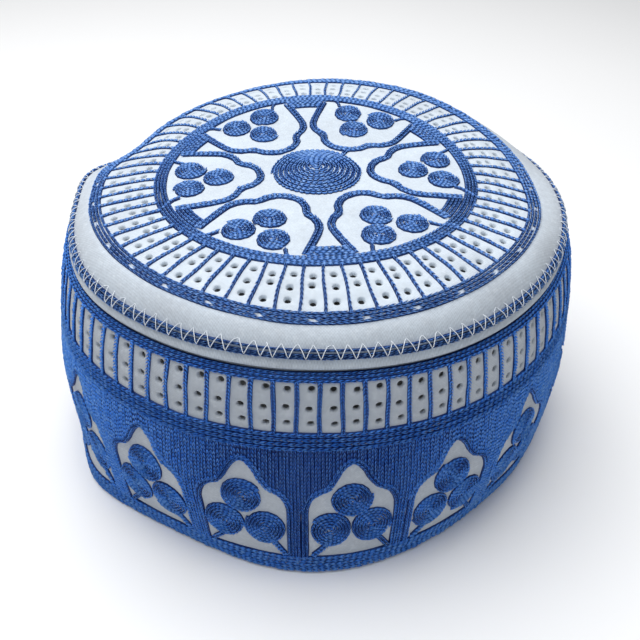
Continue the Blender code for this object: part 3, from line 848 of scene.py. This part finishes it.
def rounded(path):
    """A smooth path through every point of an open one, a little tight at its corners."""
    wide = np.vstack((2 * path[:1] - path[1:2], path, 2 * path[-1:] - path[-2:-1]))
    before, here, there, after = wide[:-3], wide[1:-2], wide[2:-1], wide[3:]
    parts = []
    for f in (0.0, 0.25, 0.5, 0.75):
        a, b = 0.4 * (there - before), 0.4 * (after - here)
        parts.append(here + f * (a + f * (3 * (there - here) - 2 * a - b + f * (2 * (here - there) + a + b))))
    return np.vstack((np.stack(parts, 1).reshape(-1, path.shape[1]), path[-1:]))


def beside(path, distance):
    """The path moved sideways, to its left where distance is positive."""
    run = np.gradient(path, axis=0)
    run /= np.linalg.norm(run, axis=1)[:, None]
    return path + distance * np.stack((-run[:, 1], run[:, 0]), 1)


def lobe_axes(lobe):
    """The lobe's two directions on the crown's plan: outwards, and across."""
    axis = math.radians(LOBE_AZIMUTH + 360 / LOBES * lobe)
    return np.array(((math.sin(axis), -math.cos(axis)), (math.cos(axis), math.sin(axis))))


for lobe in range(LOBES):
    path = rounded(np.vstack((LOBE, LOBE[-2::-1] * (1, -1))))
    rows = []
    for side in (-0.69, 0.69):
        plan = beside(path, side * MM / RING_RADIUS) @ lobe_axes(lobe)
        rows.append(row_on_cloth(*crown_place(plan[:, 0], plan[:, 1])))
    piece = stitched(f"lobe_stitching_{lobe + 1}", rows, crown_thread, 10 + lobe, 1.7, 1.34, strip=1.25)
    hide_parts(f"crown_arch_{lobe + 1}")

# Crown trefoils
# Three small spirals in each lobe: one towards the medallion, and two by the lobe's feet, from
# which thin tails run out to the ring.
ROUNDEL = 0.0735  # share of RING_RADIUS


def spiral(radius, pitch, start, turns_back=1):
    """Plan points of a round spiral from its middle out, in metres; it turns the other way for -1."""
    turns = (radius - 0.5 * pitch) / pitch
    angle = np.linspace(0, 2 * math.pi * turns, int(26 * turns) + 2)
    reach = np.minimum(pitch * (angle / (2 * math.pi)) + 0.25 * pitch, radius - 0.5 * pitch)
    bearing = turns_back * angle + start
    return np.stack((reach * np.cos(bearing), reach * np.sin(bearing)), 1)


rows = []
for lobe in range(LOBES):
    for reach, off, girth in ((0.436, 0.0, 1.0), (0.566, 8.4, 0.98), (0.566, -8.4, 1.02)):
        middle = np.array((reach * math.cos(math.radians(off)), reach * math.sin(math.radians(off))))
        turned = spiral(ROUNDEL * girth * RING_RADIUS, 1.22 * MM, lobe + off) / RING_RADIUS
        plan = (turned + middle) @ lobe_axes(lobe)
        rows.append(row_on_cloth(*crown_place(plan[:, 0], plan[:, 1])))
        if off:
            side = math.copysign(1, off)
            tail = np.array(((0.598, 0.150), (0.628, 0.170), (0.645, 0.195), (0.660, 0.222)))
            plan = rounded(tail * (1, side)) @ lobe_axes(lobe)
            rows.append(row_on_cloth(*crown_place(plan[:, 0], plan[:, 1]), girth=0.8))
stitched("crown_trefoil_stitching", rows, crown_thread, 21, 1.5, 1.18, strip=1.35)

# Inner ring
# Four chain rows run round outside the lobes, and four short ones fill each space between two
# lobes' feet.
rows = [ring_row(s) for s in (0.668, 0.682, 0.697, 0.711)]
for lobe in range(LOBES):
    gap_middle = LOBE_AZIMUTH + 360 / LOBES * (lobe + 0.5)
    for s, half in ((0.606, 5.6), (0.621, 6.0), (0.637, 6.6), (0.652, 7.4)):
        arc = np.linspace(gap_middle - half, gap_middle + half, 9)
        rows.append(row_on_cloth(arc, np.full(9, s)))
inner_ring = stitched("inner_ring_stitching", rows, crown_thread, 31, 1.8, 1.14, strip=1.15)
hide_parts("crown_inner_ring")

# Spokes
# One chain row runs down each of the sixty-four lines from the inner ring to the outer one.
rows = []
for spoke in range(SPOKES):
    azimuth = FIRST_SPOKE + 360 / SPOKES * spoke
    stations = np.linspace(0.720, 0.944, 10)
    wander = 0.16 * np.sin(stations * 30 + spoke * 2.3)
    rows.append(row_on_cloth(azimuth + wander, stations, girth=1 + 0.08 * math.sin(5.1 * spoke)))
stitched("spoke_stitching", rows, crown_thread, 41, 1.75, 1.45)

# Outer ring
# Three rows close the spokes, and a fourth fills the slit between the outer two in every second
# space.
rows = [ring_row(s) for s in (0.9465, 0.9615, 0.9895)]
for space in range(0, SPOKES, 2):
    start = FIRST_SPOKE + 360 / SPOKES * space
    arc = np.linspace(start - 1.55, start + 360 / SPOKES + 1.55, 8)
    rows.append(row_on_cloth(arc, np.full(8, 0.9755)))
outer_ring = stitched("outer_ring_stitching", rows, crown_thread, 51, 2.0, 1.16, strip=0.9)
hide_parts("crown_outer_ring")

# Edge stitching
# Where the crown turns down over the side, one row above and a thick double row below hold the two
# cloths together.
rows = [ring_row(s, girth=g) for s, g in ((1.092, 0.85), (1.113, 1.05), (1.1255, 1.05))]
edge = stitched("edge_stitching", rows, crown_thread, 61, 1.9, 1.05, strip=0.95)
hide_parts("crown_edge_braid")

# Edge zigzag
# A white thread is laid over those rows in a zigzag, and sinks into the cloth at its inner turns.
ZIGZAGS = 120
ZIGZAG_RADIUS = 0.14 * MM


def make_laid_thread_tree():
    """Geometry Nodes: a round thread along guide rows."""
    tree, given, put, node = geometry_tree("laid_thread", (("Radius", "Float"), ("Thread", "Material")))
    curve = node("GeometryNodeMeshToCurve", (("Mesh", given["Rows"]),))
    circle = node("GeometryNodeCurvePrimitiveCircle", (("Resolution", 6), ("Radius", given["Radius"])))
    swept = node("GeometryNodeCurveToMesh",
                 (("Curve", curve.outputs[0]), ("Profile Curve", circle.outputs[0]), ("Fill Caps", True)))
    finished = node("GeometryNodeSetMaterial",
                    (("Geometry", swept.outputs[0]), ("Material", given["Thread"])))
    tree.links.new(finished.outputs[0], put[0])
    return tree


white_thread = thread_material("white_thread", (0.72, 0.76, 0.80, 1), (0.72, 0.76, 0.80, 1),
                               (0.90, 0.92, 0.95, 1), (0.50, 0.56, 0.66, 1), 0.6)
ZIGZAG = ((0.0, 1.071, -0.0002), (0.10, 1.078, 0.00035), (0.28, 1.094, 0.00105), (0.42, 1.117, 0.00115),
          (0.50, 1.128, 0.00075), (0.58, 1.117, 0.00115), (0.72, 1.094, 0.00105), (0.90, 1.078, 0.00035))
step = 360 / ZIGZAGS
zig_azimuths, zig_stations, zig_lifts = [], [], []
for peak in range(ZIGZAGS):
    sway = draw.uniform(-0.45, 0.45)
    for along, station, lift in ZIGZAG:
        zig_azimuths.append(step * (peak + along) + sway)
        zig_stations.append(station)
        zig_lifts.append(lift)
row = row_on_cloth(np.array(zig_azimuths), np.array(zig_stations), np.array(zig_lifts), closed=True)
zigzag = worked("edge_zigzag_thread", make_laid_thread_tree(), [row], white_thread,
                Radius=ZIGZAG_RADIUS, Thread=white_thread)

# Side top border
# Three rows along the top of the side, close under the crown's turned edge.
rows = []
for s in (1.1845, 1.1975, 1.2105):
    tuck = np.interp(s, (EDGE_OF_CROWN, TUCK_END), (-(CLOTH + LAP_GAP), 0.0))
    rows.append(ring_row(s, tuck + ROW_LIFT))
top_border = stitched("top_border_stitching", rows, side_thread, 71, 1.9, 1.08, strip=1.1)
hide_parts("side_top_braid")

# Bars
# Eighty-five upright bars, each one wide chain row, stand between the top border and the deep one.
rows = []
for bar in range(BARS):
    azimuth = FIRST_BAR + 360 / BARS * bar
    stations = np.linspace(1.217, 1.446, 10)
    wander = 0.10 * np.sin(stations * 22 + bar * 1.7)
    rows.append(row_on_cloth(azimuth + wander, stations, girth=1 + 0.10 * math.sin(3.7 * bar)))
stitched("bar_stitching", rows, side_thread, 81, 1.1, 1.95, 0.95, strip=0.9)

# Deep border
# Four wide rows run round the side under the bars.
rows = [ring_row(s) for s in (1.4555, 1.4775, 1.4995, 1.5215)]
border = stitched("border_stitching", rows, side_thread, 91, 2.1, 1.65, 0.95, strip=1.15)
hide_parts("side_arcade")

# Arcade
# Seventeen ogee arches are left plain in a field of upright rows. Two rows follow each arch's edge,
# and the upright ones end against them.
ARCHES = 17
FIRST_ARCH = FIRST_BAR + 1.5 * 360 / BARS
HEM_TOP = 2.157
DEGREE = math.radians(1) * 0.985 * BELLY_RADIUS  # one degree round the side, in metres
UPRIGHTS = 32
ROW = 1.06 * MM
ARCH_EDGE = np.array((
    (-8.35, 2.157), (-8.35, 2.05), (-8.35, 1.90), (-8.30, 1.850), (-7.7, 1.803), (-6.8, 1.775), (-5.7, 1.758),
    (-4.4, 1.745), (-3.5, 1.718), (-2.7, 1.687), (-2.1, 1.655), (-1.1, 1.622), (0.0, 1.604), (1.1, 1.622),
    (2.2, 1.655), (2.8, 1.687), (3.7, 1.718), (4.6, 1.745), (5.7, 1.758), (6.9, 1.775), (7.8, 1.803),
    (8.5, 1.850), (8.60, 1.90), (8.60, 2.05), (8.60, 2.157),
))
flat_edge = rounded(ARCH_EDGE * (DEGREE, RING_RADIUS))
outer_edge = beside(flat_edge, -1.95 * ROW) / (DEGREE, RING_RADIUS)
upright_turns = 360 / ARCHES * ((np.arange(UPRIGHTS) + 0.5) / UPRIGHTS - 0.5)
outline_rows, upright_rows = [], ([], [])
for arch in range(ARCHES):
    middle = FIRST_ARCH + 360 / ARCHES * arch
    for side in (0.5, 1.5):
        line = beside(flat_edge, -side * ROW * 1.05) / (DEGREE, RING_RADIUS)
        line = line[line[:, 1] <= HEM_TOP + 0.002]
        outline_rows.append(row_on_cloth(middle + line[:, 0], line[:, 1]))
    for number, turn_off in enumerate(upright_turns):
        crossings = [a[1] + (b[1] - a[1]) * (turn_off - a[0]) / (b[0] - a[0])
                     for a, b in zip(outer_edge, outer_edge[1:])
                     if (a[0] - turn_off) * (b[0] - turn_off) < 0]
        foot = min(crossings) if crossings else HEM_TOP
        stations = np.linspace(1.526 + draw.uniform(0, 0.012), foot, max(int((foot - 1.528) / 0.03), 3))
        wander = 0.05 * np.sin(stations * 18 + 2.1 * number + arch)
        girth = 1 + 0.08 * math.sin(2.9 * number + 1.3 * arch)
        upright_rows[arch % 2].append(row_on_cloth(middle + turn_off + wander, stations, girth=girth))
stitched("arch_outline_stitching", outline_rows, side_thread, 101, 1.6, 1.14, 0.9, strip=1.45,
         strip_height=0.45)
for half, rows in enumerate(upright_rows):
    piece = stitched(f"arcade_stitching_{half + 1}", rows, side_thread, 111 + half, 1.5, 1.10, strip=1.7,
                     strip_height=0.45)
    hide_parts("side_arcade")

# Side trefoils
# Three spirals stand in each arch, and two slanting stems run from the lower ones to the hem.
ROUNDEL_RADIUS = 7.0 * MM
STEMS = (((-4.4, 2.068), (-5.4, 2.100), (-7.2, 2.145)), ((5.6, 2.060), (6.5, 2.090), (8.0, 2.145)))
rows = []
for arch in range(ARCHES):
    middle = FIRST_ARCH + 360 / ARCHES * arch
    for off, station, taller in ((0.0, 1.804, 1.14), (-4.1, 1.985, 1.24), (4.3, 1.979, 1.24)):
        radius = ROUNDEL_RADIUS * (1 + draw.uniform(-0.02, 0.02))
        plan = spiral(radius, 1.06 * MM, draw.uniform(0, 6.28), 1 if draw.uniform(0, 1) < 0.8 else -1)
        azimuths = middle + off + plan[:, 0] / DEGREE
        rows.append(row_on_cloth(azimuths, station + taller * plan[:, 1] / RING_RADIUS))
    for stem in STEMS:
        for aside in (-0.5, 0.5):
            line = beside(rounded(np.array(stem) * (DEGREE, RING_RADIUS)), aside * MM) / (DEGREE, RING_RADIUS)
            rows.append(row_on_cloth(middle + line[:, 0], line[:, 1]))
half = len(rows) // 2
for number, some in enumerate((rows[:half], rows[half:])):
    stitched(f"side_trefoil_stitching_{number + 1}", some, side_thread, 121 + number, 1.5, 1.06, strip=1.2)

# Hem
# Five wide rows cover the foot of the side.
rows = [ring_row(s) for s in (2.167, 2.189, 2.210, 2.231, 2.2505)]
hem = stitched("hem_stitching", rows, side_thread, 131, 2.1, 1.62, 0.9, strip=1.15)
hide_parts("hem_braid")

for shape in (nested_loop, eye_loop):
    bpy.data.objects.remove(shape)

# Floor and light
# A plain pale table under a broad soft light from above, with weaker light from the front and from
# all round.
bm = bmesh.new()
bmesh.ops.create_grid(bm, x_segments=8, y_segments=8, size=3.0)
floor_mesh = bpy.data.meshes.new("floor")
bm.to_mesh(floor_mesh)
bm.free()
floor = linked("floor", floor_mesh)
pale = bpy.data.materials.new("pale_table")
pale.use_nodes = True
pale_tree = pale.node_tree
pale_shader = pale_tree.nodes["Principled BSDF"]
pale_shader.inputs["Roughness"].default_value = 0.9
patches = cloudy(pale_tree, object_place(pale_tree), 3.0, 2, 0.3, 0.7)
tint = mix_colours(pale_tree, patches, (0.90, 0.90, 0.90, 1), (0.92, 0.92, 0.92, 1))
pale_tree.links.new(tint, pale_shader.inputs["Base Color"])
floor_mesh.materials.append(pale)


def softbox(name, place, aim, size, power, colour):
    """Square area light that looks at a point."""
    lamp = bpy.data.lights.new(name, "AREA")
    lamp.size, lamp.energy, lamp.color = size, power, colour
    light = linked(name, lamp)
    away = Vector(place) - Vector(aim)
    light.matrix_world = Matrix.Translation(place) @ away.to_track_quat("Z", "Y").to_matrix().to_4x4()


softbox("overhead", (-0.15, 0.10, 0.9), (0, 0, 0.05), 0.9, 11.0, (1.0, 1.0, 1.0))
softbox("front_fill", (0.1, -1.1, 0.55), (0, 0, 0.05), 0.8, 1.6, (0.70, 0.85, 1.0))
world = bpy.data.worlds.new("studio")
bpy.context.scene.world = world
world.use_nodes = True
world.node_tree.nodes["Background"].inputs["Color"].default_value = (0.95, 0.97, 1.0, 1)
world.node_tree.nodes["Background"].inputs["Strength"].default_value = 0.25
bpy.context.scene.view_settings.view_transform = "Standard"
